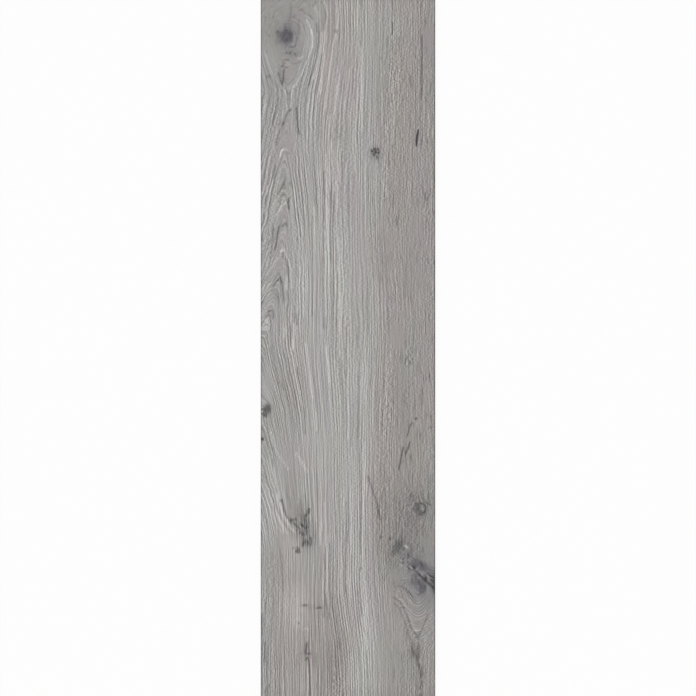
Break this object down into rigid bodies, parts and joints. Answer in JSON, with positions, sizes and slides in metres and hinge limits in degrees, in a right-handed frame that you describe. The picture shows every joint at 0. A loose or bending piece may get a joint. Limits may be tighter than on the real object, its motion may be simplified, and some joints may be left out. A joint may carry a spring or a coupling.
{
  "type": "wood look porcelain plank tile",
  "caption": "Long flat rectangular porcelain tile with a matt grey wood-grain face, bevelled ground edges and a ribbed back that keys into an adhesive bed; covers floors and walls.",
  "frame": {"origin": "middle of the tile's back, on the plane of the ribs that it rests on", "axes": "+Y along the plank, +X across it, +Z out of the printed face"},
  "size_m": [0.3, 1.2, 0.009],
  "materials": {
    "porcelain": "matt glazed porcelain, face printed and embossed with grey oak grain, edges ground, back unglazed"
  },
  "bodies": {
    "root": {"plank_tile": "porcelain"}
  },
  "joints": []
}
